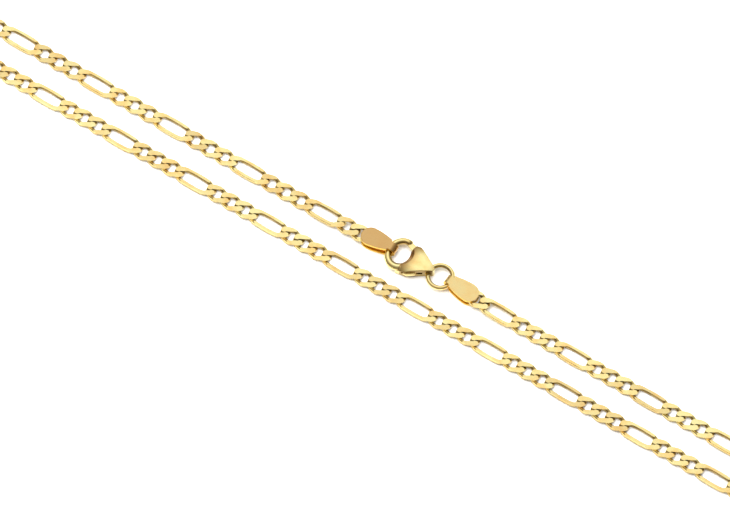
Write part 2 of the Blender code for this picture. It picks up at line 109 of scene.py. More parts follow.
HOOK_HALF_LENGTH = 2.40 * MM
HOOK_HALF_WIDTH = 2.85 * MM
HOOK_CENTRE_X = -3.65 * MM
HOOK_CENTRE_Y = 0.15 * MM
HOOK_ROOT_WIRE = 1.55 * MM
HOOK_TIP_WIRE = 1.20 * MM
HOOK_ROOT_ANGLE = math.radians(-58)
HOOK_TIP_ANGLE = math.radians(78)
HOOK_BEVEL_SLOPE = math.radians(62)
BODY_HEIGHT = 2.75 * MM
BODY_FOOT = 0.08 * MM
BODY_DOME_LENGTH = 10.4 * MM
BODY_DOME_WIDTH = 9.4 * MM
BODY_DOME_DROP = 2.20 * MM
BODY_DOME_X = 0.70 * MM
BODY_SHIFT = -0.20 * MM
SHOULDER_WIDTH = 6.10 * MM
SHOULDER_X = -0.80 * MM
SHOULDER_SLANT = 1.05 * MM
SHOULDER_DROP = 0.12 * MM
MOUTH_FLOOR = 0.45 * MM
MOUTH_FLARE = 1.50
TAIL_WIDTH = 1.10 * MM
SLOT_HEIGHT = 0.70 * MM
SLOT_FRONT = 1.60 * MM
SLOT_BACK = 1.95 * MM
GATE_SLOT_FRONT = 2.50 * MM
LEVER_THICKNESS = 0.50 * MM
GATE_WIDTH = 1.10 * MM
GATE_SINK = 0.18 * MM
PIN_DIAMETER = 0.70 * MM
PIN_GAP = 0.06 * MM
GATE_NECK_RUN = 0.70 * MM
GATE_NECK_DROP = 0.28 * MM
LEVER_FRONT = 1.25 * MM
LEVER_WAIST = 1.05 * MM
LEVER_BACK = 0.92 * MM
LEVER_INSIDE = 1.43 * MM
GATE_BACK = ((0.40 * MM, 1.80 * MM), (-0.60 * MM, 2.65 * MM))
WING_PROUD = 0.20 * MM
WING_LENGTH = 0.85 * MM

# Sizes that follow from those of the part
LINK_GRIP = 2 * WIRE_WIDTH - FUSE_BITE
SHORT_PITCH = SHORT_LINK_LENGTH - LINK_GRIP
RING_RADIUS = (RING_DIAMETER - RING_WIRE) / 2
PIVOT_Y = STRAND_Y + CLASP_OFFSET
HOOK_LEFT_WIRE = (HOOK_ROOT_WIRE + HOOK_TIP_WIRE) / 2
RING_HEIGHT = PLATE_THICKNESS + FITTING_GAP + RING_WIRE / 2
CLASP_HEIGHT = PLATE_THICKNESS + FITTING_GAP + HOOK_LEFT_WIRE / 2
END_LINK_HEIGHT = PLATE_THICKNESS - SOLDER_BITE + CHAIN_THICKNESS / 2
END_LINK_JOINT = TAB_LENGTH + END_LINK_OUT + SHORT_PITCH / 2
HOOK_END_RADIUS = HOOK_HALF_WIDTH ** 2 / HOOK_HALF_LENGTH
BODY_MIDDLE_Y = EYE_OFFSET + BODY_SHIFT
BODY_LOW_SIDE = BODY_MIDDLE_Y - SHOULDER_WIDTH / 2
BODY_START_X = HOOK_CENTRE_X + HOOK_HALF_LENGTH / 2

# What only the smooth links have: how far a round tip is drawn in, so that it ends where the
# part's flat tip does, the share by which the wire is narrower there, how far a long link's two
# bars bow out in their middle, and the share by which the wire is deeper away from the crossings
TIP_DRAW = 0.12 * MM
TIP_NARROWING = 0.10
BAR_BOW = 0.07 * MM
BAR_DEEPENING = 0.12

# How soon a smooth tab has its shoulder's width, and the cells that the clasp's skin is made of
SHOULDER_STEP = 0.08 * MM
CAST_CELL = 0.05 * MM

# Where the camera aims: along the strands from the lever's pivot, aside from the loop's middle
# line, and nearer to the camera
AIM_ALONG = -9.4 * MM
AIM_ASIDE = 0.32 * MM
AIM_NEARER = 0.252 * MM

# The sky by the cosine of the angle from the middle of the soft box: where the box's full light
# starts, steps below it with their share of the way up from the low light, and the two tints that
# the light has far from the box and nearer to it
BOX_EDGE = 0.965
SKY_STEPS = ((0.35, 0.08), (0.68, 0.26), (0.88, 0.62))
FAR_TINT = (1.0, 0.84, 0.66)
NEAR_TINT = (1.0, 0.88, 0.72)

# The lamps that light the floor: name, metres away from the camera, to its right and up, size in
# metres, and share of the lamp power
LAMPS = (("overhead_lamp", 0.15, 0.0, 0.6, 0.7, 1.0),
         ("side_lamp", 0.0, -0.4, 0.5, 0.5, 0.5))

ROOT_BODY = "necklace"
LEVER_BODY = "lever"

# Values kept at the corners or faces of a piece: how much painted shade it has, and how brown
PAINTED_SHADE = "painted_shade"
TONE_AND_PAINTED_SHADE = "tone"

# A Mix node's sockets when it mixes colours, by number, because several share a name
MIX_SHARE, MIX_FIRST, MIX_SECOND, MIX_RESULT = 0, 6, 7, 2


# Settings that a user would change

class FigaroFinish(bpy.types.PropertyGroup):
    """Colours and polish of the gold, and the colours of its painted shade."""
    gold: bpy.props.FloatVectorProperty(
        name="Gold", description="Colour of the polished gold", subtype='COLOR', size=3,
        min=0.0, max=1.0, default=(0.96, 0.78, 0.34))
    rich_gold: bpy.props.FloatVectorProperty(
        name="Rich Gold", description="Deeper colour that the gold varies towards", subtype='COLOR',
        size=3, min=0.0, max=1.0, default=(0.93, 0.66, 0.25))
    green_gold: bpy.props.FloatVectorProperty(
        name="Green Gold", description="Paler, greener colour that the gold varies towards",
        subtype='COLOR', size=3, min=0.0, max=1.0, default=(0.93, 0.83, 0.40))
    # Also the brown of the painted shade on the clasp's shoulder and along its opening
    brown_gold_and_painted_shade: bpy.props.FloatVectorProperty(
        name="Brown Gold", description="Colour of the links that look browner", subtype='COLOR',
        size=3, min=0.0, max=1.0, default=(0.57, 0.34, 0.13))
    # Painted shade colour that the links' wire and the jump ring darken towards
    painted_shade_bronze: bpy.props.FloatVectorProperty(
        name="Bronze", description="Colour of the unpolished inner sides", subtype='COLOR',
        size=3, min=0.0, max=1.0, default=(0.27, 0.175, 0.045))
    # Painted shade colour of the tabs, on their plates' edges and between the plates
    tab_painted_shade_gold: bpy.props.FloatVectorProperty(
        name="Deep Gold", description="Colour of the edges and the inside of the tabs",
        subtype='COLOR', size=3, min=0.0, max=1.0, default=(0.98, 0.62, 0.06))
    # Painted shade colour that the clasp's body darkens towards
    clasp_painted_shade_brown: bpy.props.FloatVectorProperty(
        name="Cast Brown", description="Colour of the clasp's unpolished sides", subtype='COLOR',
        size=3, min=0.0, max=1.0, default=(0.22, 0.12, 0.02))
    tone_spread: bpy.props.FloatProperty(
        name="Tone Spread", description="Most that a link leans towards brown", subtype='FACTOR',
        min=0.0, max=1.0, default=0.40)
    plate_tone: bpy.props.FloatProperty(
        name="Plate Tone", description="How brown the tab on the hook is", subtype='FACTOR',
        min=0.0, max=1.0, default=0.9)
    wire_roughness: bpy.props.FloatProperty(
        name="Wire Roughness", description="Roughness of the rounded wire", subtype='FACTOR',
        min=0.0, max=1.0, default=0.15)
    flat_roughness: bpy.props.FloatProperty(
        name="Flat Roughness", description="Roughness of the milled flats", subtype='FACTOR',
        min=0.0, max=1.0, default=0.24)
    scratch_depth: bpy.props.FloatProperty(
        name="Scratch Depth", description="Depth of the fine polishing lines", unit='LENGTH',
        min=0.0, max=0.0001, precision=6, default=0.000003)


class FigaroShape(bpy.types.PropertyGroup):
    """Finer shape of the pieces, inside the part's sizes."""
    wire_depth: bpy.props.FloatProperty(
        name="Wire Depth", description="Height of the link's wire before its flats are milled",
        unit='LENGTH', min=0.0008, max=0.0014, precision=5, default=0.00112)
    link_tilt: bpy.props.FloatProperty(
        name="Link Tilt", description="Most that a loose link leans to one side", subtype='ANGLE',
        min=0.0, max=0.2, default=math.radians(1.6))
    edge_round: bpy.props.FloatProperty(
        name="Edge Round", description="Radius of the worn edges of plates and castings",
        unit='LENGTH', min=0.0, max=0.0002, precision=5, default=0.00006)
    seed: bpy.props.IntProperty(
        name="Seed", description="Number that picks how the links lean", min=0, default=7)


class FigaroStage(bpy.types.PropertyGroup):
    """Floor, light and camera."""
    floor_colour: bpy.props.FloatVectorProperty(
        name="Floor", description="Colour of the floor", subtype='COLOR', size=3,
        min=0.0, max=1.0, default=(0.93, 0.93, 0.925))
    sky_light: bpy.props.FloatProperty(
        name="Sky Light", description="Strength of the soft box overhead", min=0.0, default=1.16)
    low_light: bpy.props.FloatProperty(
        name="Low Light", description="Share of the sky's light that is left beside the soft box",
        subtype='FACTOR', min=0.0, max=1.0, default=0.19)
    lamp_power: bpy.props.FloatProperty(
        name="Lamp Power", description="Power of the large lamps that light the floor",
        unit='POWER', min=0.0, default=5.8)
    camera_turn: bpy.props.FloatProperty(
        name="Camera Turn", description="Turn of the camera round the chain", subtype='ANGLE',
        default=math.radians(32.2347))
    camera_height: bpy.props.FloatProperty(
        name="Camera Height", description="Angle of the camera above the floor", subtype='ANGLE',
        default=math.radians(65.0))
    view_width: bpy.props.FloatProperty(
        name="View Width", description="Width of the picture at the chain", unit='LENGTH',
        min=0.01, precision=4, default=0.13892)
    camera_distance: bpy.props.FloatProperty(
        name="Camera Distance", description="Distance from the camera to the chain", unit='LENGTH',
        min=0.1, default=3.0)


# Links

def clamped(value):
    """A value held between 0 and 1."""
    return max(0.0, min(1.0, value))


def linked_object(shape, name):
    """A mesh object in the scene from a bmesh, which is then freed."""
    mesh = bpy.data.meshes.new(name)
    shape.to_mesh(mesh)
    shape.free()
    item = bpy.data.objects.new(name, mesh)
    bpy.context.scene.collection.objects.link(item)
    return item


def skin(shape, rings, closed):
    """Faces between rings of corners in a row, and from the last ring to the first if closed."""
    following_rings = rings[1:] + rings[:1] if closed else rings[1:]
    for current, following in zip(rings, following_rings):
        for index, corner in enumerate(current):
            after = (index + 1) % len(current)
            shape.faces.new((corner, following[index], following[after], current[after]))


def link_end_places(length):
    """Middle, rise and width share of the wire at the part's own sections round a link along X."""
    half_width = (CHAIN_WIDTH - WIRE_WIDTH) / 2
    end_centre = (length - WIRE_WIDTH) / 2 - LINK_END_REACH
    rows = list(LINK_END_SECTIONS)
    if length > SHORT_LINK_LENGTH:
        rows.append(LONG_BAR_SECTION)
    places = []
    for side in (1, -1):
        for along, across, rise, width in rows:
            centre = Vector((end_centre + LINK_END_REACH * along, half_width * across, 0))
            places.append((side * centre, CROSSING_RISE * rise, width))
    return places


def wire_inside(index):
    """Distance from a short link's middle to the inside of its wire at one section, along X."""
    places = link_end_places(SHORT_LINK_LENGTH)
    centre, _, width = places[index]
    along = (places[index + 1][0] - places[index - 1][0]).normalized()
    return centre.x - along.y * width * WIRE_WIDTH / 2


def between(before, start, finish, after, share):
    """Value on a smooth curve through four values, at a share of the way over its middle part."""
    pull = (finish - before) * 0.5
    push = (after - start) * 0.5
    square = share * share
    cube = square * share
    return (start * (2 * cube - 3 * square + 1) + pull * (cube - 2 * square + share)
            + finish * (3 * square - 2 * cube) + push * (cube - square))


def link_centreline(length, steps=7):
    """Centre, outward direction, rise and width share of fine sections round a link along X."""
    places = link_end_places(length)
    count = len(places)
    fine = []
    for index in range(count):
        near = [places[(index + shift) % count] for shift in (-1, 0, 1, 2)]
        straight = (near[2][0] - near[1][0]).length > LINK_END_REACH
        for step in range(steps):
            share = step / steps
            centre = between(*[place[0] for place in near], share)
            if straight:
                centre = near[1][0].lerp(near[2][0], share)
                centre.y += math.copysign(4 * BAR_BOW * share * (1 - share), centre.y)
            rise = between(*[place[1] for place in near], share)
            width = between(*[place[2] for place in near], share)
            fine.append((centre, rise, width))
    reach_start = places[1][0].x
    reach_end = places[2][0].x + TIP_DRAW
    for index, (centre, rise, width) in enumerate(fine):
        share = clamped((abs(centre.x) - reach_start) / (reach_end - reach_start))
        drawn = Vector((centre.x - math.copysign(TIP_DRAW * share, centre.x), centre.y, 0))
        fine[index] = (drawn, rise, width * (1 - TIP_NARROWING * share))
    sections = []
    for index, (centre, rise, width) in enumerate(fine):
        along = fine[(index + 1) % len(fine)][0] - fine[index - 1][0]
        along.normalize()
        sections.append((centre, Vector((along.y, -along.x, 0)), rise, width))
    return sections


def link_painted_shade(angle, tip, rise):
    """How much painted shade darkens a link, at an angle round its wire from the outward side.

    The tip share goes from 0 on a bar to 1 at a link's end. The painted shade is darkest on the
    inside of the wire, then on the outside of a bar below its upper edge, then on the tips that
    dip under the next link.
    """
    bar = 1.0 - 0.75 * tip
    inner = bar * clamped(-1.5 * math.cos(angle) - 0.1)
    outer = 0.75 * bar * clamped(1.5 - 2 * math.sin(angle)) * math.cos(angle)
    dipped = 0.45 * tip * max(0.0, -rise / CROSSING_RISE)
    return min(1.0, max(inner, outer, dipped))


def milled_link(length, wire_depth, profile_steps=20):
    """One link as a bmesh: a swept oval wire whose top and bottom are cut off flat."""
    shape = bmesh.new()
    # Painted shade on the wire: darkest on its inside, below a bar's upper edge and at tips under the
    # next link
    painted_shade_source = shape.verts.layers.float.new(PAINTED_SHADE)
    shape.verts.layers.float.new(TONE_AND_PAINTED_SHADE)
    tip_start = length / 2 - WIRE_WIDTH
    tip_run = 0.4 * WIRE_WIDTH
    rings = []
    for centre, outward, rise, width in link_centreline(length):
        tip = clamped((abs(centre.x) - tip_start) / tip_run)
        depth = wire_depth * (1.0 + BAR_DEEPENING * max(0.0, 1 - abs(rise) / CROSSING_RISE))
        ring = []
        for step in range(profile_steps):
            angle = math.tau * step / profile_steps
            point = centre + outward * (width * WIRE_WIDTH / 2 * math.cos(angle))
            point.z = rise + depth / 2 * math.sin(angle)
            corner = shape.verts.new(point)
            corner[painted_shade_source] = link_painted_shade(angle, tip, rise)
            ring.append(corner)
        rings.append(ring)
    skin(shape, rings, closed=True)
    for up in (1, -1):
        everything = list(shape.verts) + list(shape.edges) + list(shape.faces)
        height = Vector((0, 0, up * CHAIN_THICKNESS / 2))
        cut = bmesh.ops.bisect_plane(shape, geom=everything, plane_co=height,
                                     plane_no=(0, 0, up), clear_outer=True)
        rim = [e for e in cut["geom_cut"] if isinstance(e, bmesh.types.BMEdge)]
        made = bmesh.ops.triangle_fill(shape, edges=rim, use_beauty=True, normal=(0, 0, up))
        for face in made["geom"]:
            if isinstance(face, bmesh.types.BMFace):
                face.material_index = 1
        for edge in rim:
            edge.smooth = False
    bmesh.ops.recalc_face_normals(shape, faces=shape.faces)
    return shape


def turn_angle():
    """How far the route swings outwards before the round turn at each end."""
    return math.acos((STRAND_Y + TURN_BLEND_RADIUS) / (TURN_RADIUS + TURN_BLEND_RADIUS))


def route_legs(ring_end_x, hook_end_x, start_x, finish_x):
    """Legs of the route as (length, curvature), from the ring side round to the hook side."""
    swing = turn_angle()
    blend = (TURN_BLEND_RADIUS * swing, 1 / TURN_BLEND_RADIUS)
    turn = (TURN_RADIUS * (math.pi + 2 * swing), -1 / TURN_RADIUS)
    legs = [(ring_end_x - start_x, 0.0), blend, turn, blend]
    legs += [(ring_end_x - hook_end_x, 0.0), blend, turn, blend]
    legs += [(finish_x - hook_end_x, 0.0)]
    return legs


def point_on(legs, start, distance):
    """The point of the route at a distance along it, higher near the tabs at both ends."""
    x, y = start
    heading = 0.0
    left = distance
    for index, (length, curvature) in enumerate(legs):
        last = index == len(legs) - 1
        step = left if last else min(left, length)
        if curvature:
            turned = heading + curvature * step
            x += (math.sin(turned) - math.sin(heading)) / curvature
            y += (math.cos(heading) - math.cos(turned)) / curvature
            heading = turned
        else:
            x += step * math.cos(heading)
            y += step * math.sin(heading)
        left -= step
        if left <= 0:
            break
    total = sum(length for length, _ in legs)
    lift = END_LINK_HEIGHT - CHAIN_THICKNESS / 2
    from_end = min(distance, total - distance)
    z = CHAIN_THICKNESS / 2 + lift * max(0.0, 1 - max(0.0, from_end) / LIFT_RUN)
    return Vector((x, y, z))


def link_lengths():
    """Lengths of the loose links in order, from the ring side round to the hook side."""
    group = [SHORT_LINK_LENGTH] * SHORT_LINKS_BETWEEN + [LONG_LINK_LENGTH]
    return [LONG_LINK_LENGTH] + group * PATTERN_REPEATS + [SHORT_LINK_LENGTH]


def pull_at(point):
    """How much further apart than usual two links lie at a point of the route."""
    if point.y < -STRAND_SHARE * STRAND_Y:
        return -NEAR_STRAND_SLACK
    if point.y > STRAND_SHARE * STRAND_Y and point.x < 0:
        return HOOK_STRAND_PULL
    return 0.0


def walk(legs, start, lengths, split):
    """Each link's two end points along the route, and the distance walked.

    At the split and at both ends the next link isn't fused, and is held off by the running gap.
    """
    loose = SHORT_PITCH - 2 * wire_inside(2) + RUNNING_GAP
    distance = -loose
    ends = []
    for number, length in enumerate(lengths):
        if number == split:
            distance -= loose
        elif number > 0:
            distance += pull_at(point_on(legs, start, distance))
        pitch = length - LINK_GRIP
        here = point_on(legs, start, distance)
        low, high = distance, distance + 1.5 * pitch
        for _ in range(30):
            middle = (low + high) / 2
            if (point_on(legs, start, middle) - here).length < pitch:
                low = middle
            else:
                high = middle
        distance = high
        ends.append((here, point_on(legs, start, distance)))
    return ends, distance - loose


def tab_place(fold_x, fold_y, direction):
    """Place of a tab whose link ends on the strand, for one that points to +X (1) or -X (-1)."""
    lean = math.asin((STRAND_Y - fold_y) / END_LINK_JOINT)
    turn = lean if direction > 0 else math.pi - lean
    return Matrix.Translation((fold_x, fold_y, 0)) @ Matrix.Rotation(turn, 4, 'Z')


def wire_sagitta(radius):
    """How far a round wire curves away over the width of a tab's neck."""
    return radius - math.sqrt(radius ** 2 - (TAB_NECK / 2) ** 2)


class Layout:
    """Where the fittings and the links lie, worked out as the part's source does."""

    def __init__(self):
        self.ring = Vector((PIVOT_TO_EYE + RING_RADIUS, PIVOT_Y + EYE_OFFSET, RING_HEIGHT))
        ring_fold = self.ring.x + RING_RADIUS - wire_sagitta(RING_RADIUS)
        hook_fold = HOOK_CENTRE_X - HOOK_HALF_LENGTH + wire_sagitta(HOOK_END_RADIUS)
        self.ring_tab = tab_place(ring_fold, self.ring.y, 1)
        self.hook_tab = tab_place(hook_fold, PIVOT_Y + HOOK_CENTRE_Y, -1)
        joint = Vector((END_LINK_JOINT, 0, 0))
        start_x = (self.ring_tab @ joint).x
        finish_x = (self.hook_tab @ joint).x
        self.lengths = link_lengths()
        self.split = len(self.lengths) // 2
        ring_end = start_x + RING_SIDE_STRAIGHT
        hook_end = finish_x - RING_SIDE_STRAIGHT
        for _ in range(8):
            legs = route_legs(ring_end, hook_end, start_x, finish_x)
            self.ends, walked = walk(legs, (start_x, STRAND_Y), self.lengths, self.split)
            hook_end += (sum(length for length, _ in legs) - walked) / 2
        self.middle_x = (ring_end + hook_end) / 2
        self.shift = Matrix.Translation((-self.middle_x, 0, 0))
        self.pivot = self.shift @ Matrix.Translation((0, PIVOT_Y, CLASP_HEIGHT))


def link_place(first, second, lean):
    """Matrix that lays a link between two points, flats up, leaning a little about its length.

    A link that climbs is lifted, high enough that its lower end clears.
    """
    along = (second - first).normalized()
    across = Vector((0, 0, 1)).cross(along).normalized()
    up = along.cross(across)
    turn = Matrix((along, across, up)).transposed().to_4x4()
    lift = Vector((0, 0, abs(along.z) * WIRE_WIDTH))
    rolled = Matrix.Rotation(lean, 4, 'X')
    return Matrix.Translation((first + second) / 2 + lift) @ turn @ rolled


def join_copies(name, bases, places):
    """One mesh object from copies of base meshes, each in its own place and with its own tone."""
    shape = bmesh.new()
    for key, place, tone in places:
        copy = bases[key].copy()
        copy.transform(place)
        layer = copy.verts.layers.float[TONE_AND_PAINTED_SHADE]
        for corner in copy.verts:
            corner[layer] = tone
        mesh = bpy.data.meshes.new("copy")
        copy.to_mesh(mesh)
        copy.free()
        shape.from_mesh(mesh)
        bpy.data.meshes.remove(mesh)
    return linked_object(shape, name)


# Materials

def add_node(tree, kind, place, **values):
    """A new node, whose own settings and input sockets take the given values by their names."""
    node = tree.nodes.new(kind)
    node.location = place
    for key, value in values.items():
        if key in node.inputs:
            node.inputs[key].default_value = value
        else:
            setattr(node, key, value)
    return node


def add_noise(tree, place, source, scale, detail):
    """The value of a cloudy pattern in the space of a vector socket."""
    noise = add_node(tree, "ShaderNodeTexNoise", place, Scale=scale, Detail=detail)
    tree.links.new(source, noise.inputs["Vector"])
    return noise.outputs["Fac"]


def stretched(tree, place, source, before, after):
    """A socket's value taken from one range to another."""
    node = add_node(tree, "ShaderNodeMapRange", place)
    names = ("From Min", "From Max", "To Min", "To Max")
    for name, value in zip(names, (*before, *after)):
        node.inputs[name].default_value = value
    tree.links.new(source, node.inputs["Value"])
    return node.outputs["Result"]


def mixed_towards(tree, place, share, first, colour):
    """A colour socket's value mixed towards a fixed colour by a share socket."""
    node = add_node(tree, "ShaderNodeMix", place, data_type='RGBA')
    node.inputs[MIX_SECOND].default_value = (*colour, 1)
    tree.links.new(share, node.inputs[MIX_SHARE])
    tree.links.new(first, node.inputs[MIX_FIRST])
    return node.outputs[MIX_RESULT]


def gold_play(tree, cloud, settings):
    """Gold that drifts between a richer and a greener colour, and to brown by the tone: a random tone
    on the links, an even one on the tabs, and painted shade on the clasp.
    """
    tint = add_node(tree, "ShaderNodeValToRGB", (-1100, 300))
    tint.color_ramp.elements[0].position = 0.34
    tint.color_ramp.elements[0].color = (*settings.rich_gold, 1)
    tint.color_ramp.elements[1].position = 0.66
    tint.color_ramp.elements[1].color = (*settings.green_gold, 1)
    plain = tint.color_ramp.elements.new(0.5)
    plain.color = (*settings.gold, 1)
    tree.links.new(cloud, tint.inputs["Fac"])
    tone = add_node(tree, "ShaderNodeAttribute", (-1100, 620), attribute_name=TONE_AND_PAINTED_SHADE)
    return mixed_towards(tree, (-780, 420), tone.outputs["Fac"], tint.outputs["Color"],
                         settings.brown_gold_and_painted_shade)


def painted_shade_patches(tree, cloud, painted_shade):
    """How much painted shade darkens the metal, a little uneven, at most by the given share."""
    patch = stretched(tree, (-940, 60), cloud, (0.3, 0.6), (0.7 * painted_shade, painted_shade))
    painted_shade_source = add_node(tree, "ShaderNodeAttribute", (-1100, -60), attribute_name=PAINTED_SHADE)
    breakup = add_node(tree, "ShaderNodeMath", (-780, 120), operation='MULTIPLY')
    tree.links.new(painted_shade_source.outputs["Fac"], breakup.inputs[0])
    tree.links.new(patch, breakup.inputs[1])
    return breakup.outputs["Value"]


def gold_roughness(tree, place, painted_shade_share, roughness):
    """Roughness with faint smudges, and higher where shade is painted on the metal."""
    smudge = add_noise(tree, (-940, -220), place, 2600.0, 4.0)
    spread = stretched(tree, (-700, -200), smudge, (0.3, 0.7), (0.75 * roughness, 1.3 * roughness))
    rougher = add_node(tree, "ShaderNodeMath", (-460, -120), operation='MULTIPLY_ADD')
    rougher.inputs[1].default_value = 0.18
    tree.links.new(painted_shade_share, rougher.inputs[0])
    tree.links.new(spread, rougher.inputs[2])
    return rougher.outputs["Value"]


def polishing_lines(tree, place, scale, depth):
    """Normals of fine lines, slanted across the piece."""
    slant = add_node(tree, "ShaderNodeMapping", (-1300, -520), Scale=scale,
                     Rotation=(0, 0, math.radians(35)))
    tree.links.new(place, slant.inputs["Vector"])
    lines = add_noise(tree, (-1100, -520), slant.outputs["Vector"], 1.0, 5.0)
    bump = add_node(tree, "ShaderNodeBump", (-460, -520), Strength=0.35, Distance=depth)
    tree.links.new(lines, bump.inputs["Height"])
    return bump.outputs["Normal"]


def gold_material(name, roughness, line_scale, dark, settings, painted_shade=1.0):
    """Polished gold with a play of colour, fine polishing lines and painted shade where a piece keeps
    it.
    """
    material = bpy.data.materials.get(name)
    if material:
        return material
    material = bpy.data.materials.new(name)
    material.use_nodes = True
    tree = material.node_tree
    shader = tree.nodes["Principled BSDF"]
    shader.inputs["Metallic"].default_value = 1.0
    place = add_node(tree, "ShaderNodeTexCoord", (-1500, 0)).outputs["Object"]
    cloud = add_noise(tree, (-1300, 300), place, 420.0, 4.0)
    # The share of painted shade, and the base colour darkened by it towards the painted shade colour
    painted_shade_share = painted_shade_patches(tree, cloud, painted_shade)
    colour = mixed_towards(tree, (-520, 320), painted_shade_share, gold_play(tree, cloud, settings), dark)
    rough = gold_roughness(tree, place, painted_shade_share, roughness)
    lines = polishing_lines(tree, place, line_scale, settings.scratch_depth)
    tree.links.new(colour, shader.inputs["Base Color"])
    tree.links.new(rough, shader.inputs["Roughness"])
    tree.links.new(lines, shader.inputs["Normal"])
    return material


def wire_gold(settings):
    """Gold of the links' rounded wire and of the jump ring."""
    return gold_material("rounded_wire_gold", settings.wire_roughness, (2500, 9000, 9000),
                         settings.painted_shade_bronze, settings)


def flat_gold(settings):
    """Gold of the links' milled tops and bottoms, polished, with no painted shade."""
    return gold_material("milled_flat_gold", settings.flat_roughness, (900, 26000, 4000),
                         settings.painted_shade_bronze, settings, 0.0)


def plate_gold(settings):
    """Gold of the tabs and of the lever."""
    return gold_material("rolled_plate_gold", settings.wire_roughness, (1500, 14000, 4000),
                         settings.tab_painted_shade_gold, settings)


def cast_gold(settings):
    """Gold of the clasp's body."""
    return gold_material("cast_clasp_gold", 0.8 * settings.wire_roughness, (5000, 5000, 5000),
                         settings.clasp_painted_shade_brown, settings)


def floor_material(colour):
    """Smooth pale board with a grain that can hardly be seen."""
    material = bpy.data.materials.new("pale_board")
    material.use_nodes = True
    tree = material.node_tree
    shader = tree.nodes["Principled BSDF"]
    shader.inputs["Roughness"].default_value = 0.65
    place = add_node(tree, "ShaderNodeTexCoord", (-900, 0))
    grain = add_noise(tree, (-700, 0), place.outputs["Object"], 140.0, 4.0)
    ramp = add_node(tree, "ShaderNodeValToRGB", (-450, 0))
    ramp.color_ramp.elements[0].color = (*[0.985 * c for c in colour], 1)
    ramp.color_ramp.elements[1].color = (*colour, 1)
    tree.links.new(grain, ramp.inputs["Fac"])
    tree.links.new(ramp.outputs["Color"], shader.inputs["Base Color"])
    return material


# Fittings

def object_from(shape, name):
    """A mesh object from a bmesh whose faces are first turned the same way."""
    bmesh.ops.recalc_face_normals(shape, faces=shape.faces)
    return linked_object(shape, name)


def shade(item, degrees=40):
    """Shade a piece smooth, but for edges sharper than an angle."""
    item.data.shade_smooth()
    item.data.set_sharp_from_angle(angle=math.radians(degrees))


def wear_edges(item, width):
    """Round off the sharp edges of a piece by a modifier."""
    worn = item.modifiers.new("Worn edges", 'BEVEL')
    worn.width = width
    worn.segments = 3
    worn.limit_method = 'ANGLE'
    worn.angle_limit = math.radians(50)


def apply_modifiers(item):
    """Replace an object's mesh by what its modifiers make of it."""
    graph = bpy.context.evaluated_depsgraph_get()
    made = bpy.data.meshes.new_from_object(item.evaluated_get(graph))
    item.modifiers.clear()
    old = item.data
    item.data = made
    made.name = item.name
    bpy.data.meshes.remove(old)


def strip_half_width(x):
    """Half the width of a tab's plate at a distance from the middle of its fold."""
    round_centre = TAB_LENGTH - TAB_WIDTH / 2
    if x <= TAB_NECK_LENGTH:
        return TAB_NECK / 2
    if x >= round_centre:
        return math.sqrt(max(0.0, (TAB_WIDTH / 2) ** 2 - (x - round_centre) ** 2))
    share = (x - TAB_NECK_LENGTH) / (round_centre - TAB_NECK_LENGTH)
    return TAB_SHOULDER / 2 + (TAB_WIDTH - TAB_SHOULDER) / 2 * math.sin(share * math.pi / 2)


def tab_strip(name, wire, wire_height, across=8):
    """Middle surface of a strip folded round a wire: lower plate, fold, upper plate."""
    fold = wire / 2 + FITTING_GAP + PLATE_THICKNESS / 2
    round_centre = TAB_LENGTH - TAB_WIDTH / 2
    low_z = PLATE_THICKNESS / 2
    high_end_z = low_z + PLATE_THICKNESS + CHAIN_THICKNESS - 2 * SOLDER_BITE
    side = round_centre - TAB_NECK_LENGTH
    side_steps, fold_steps = 12, 24
    outs = [round_centre + TAB_WIDTH / 2 * math.sin(math.radians(a)) for a in range(84, -1, -7)]
    outs += [TAB_NECK_LENGTH + side * s / side_steps for s in range(side_steps - 1, 0, -1)]
    outs += [TAB_NECK_LENGTH + SHOULDER_STEP, TAB_NECK_LENGTH]
    line = [(x, low_z, strip_half_width(x)) for x in outs]
    for step in range(fold_steps + 1):
        angle = -math.pi * (0.5 + step / fold_steps)
        line.append((fold * math.cos(angle), wire_height + fold * math.sin(angle), TAB_NECK / 2))
    high_z = wire_height + fold
    for x in reversed(outs):
        share = x / TAB_LENGTH
        line.append((x, high_z + (high_end_z - high_z) * share, strip_half_width(x)))
    shape = bmesh.new()
    rows = []
    for x, z, half_width in line:
        rows.append([shape.verts.new((x, half_width * (2 * step / across - 1), z))
                     for step in range(across + 1)])
    for current, following in zip(rows, rows[1:]):
        for step in range(across):
            shape.faces.new((current[step], current[step + 1], following[step + 1], following[step]))
    return object_from(shape, name)


def set_tone(item, value):
    """Make a piece lean towards the brown gold, evenly all over."""
    layer = item.data.attributes.new(TONE_AND_PAINTED_SHADE, 'FLOAT', 'POINT')
    for corner in layer.data:
        corner.value = value


def set_by_rule(item, name, rule):
    """Keep a value at each corner of a piece, from its place and its normal."""
    layer = item.data.attributes.new(name, 'FLOAT', 'POINT')
    for corner, value in zip(item.data.vertices, layer.data):
        value.value = clamped(rule(corner.co, corner.normal))


def ring_painted_shade(co, normal):
    """Painted shade on the jump ring's wire, darker on the side that faces the middle of the ring."""
    inward = -(normal.x * co.x + normal.y * co.y) / math.hypot(co.x, co.y)
    return 1.6 * inward - 0.3


def opening_reach(co):
    """How far out of the hook's opening a place is: 1 on the middle line of the hook's wire."""
    return math.hypot((co.x - HOOK_CENTRE_X) / HOOK_HALF_LENGTH,
                      (co.y - HOOK_CENTRE_Y) / HOOK_HALF_WIDTH)


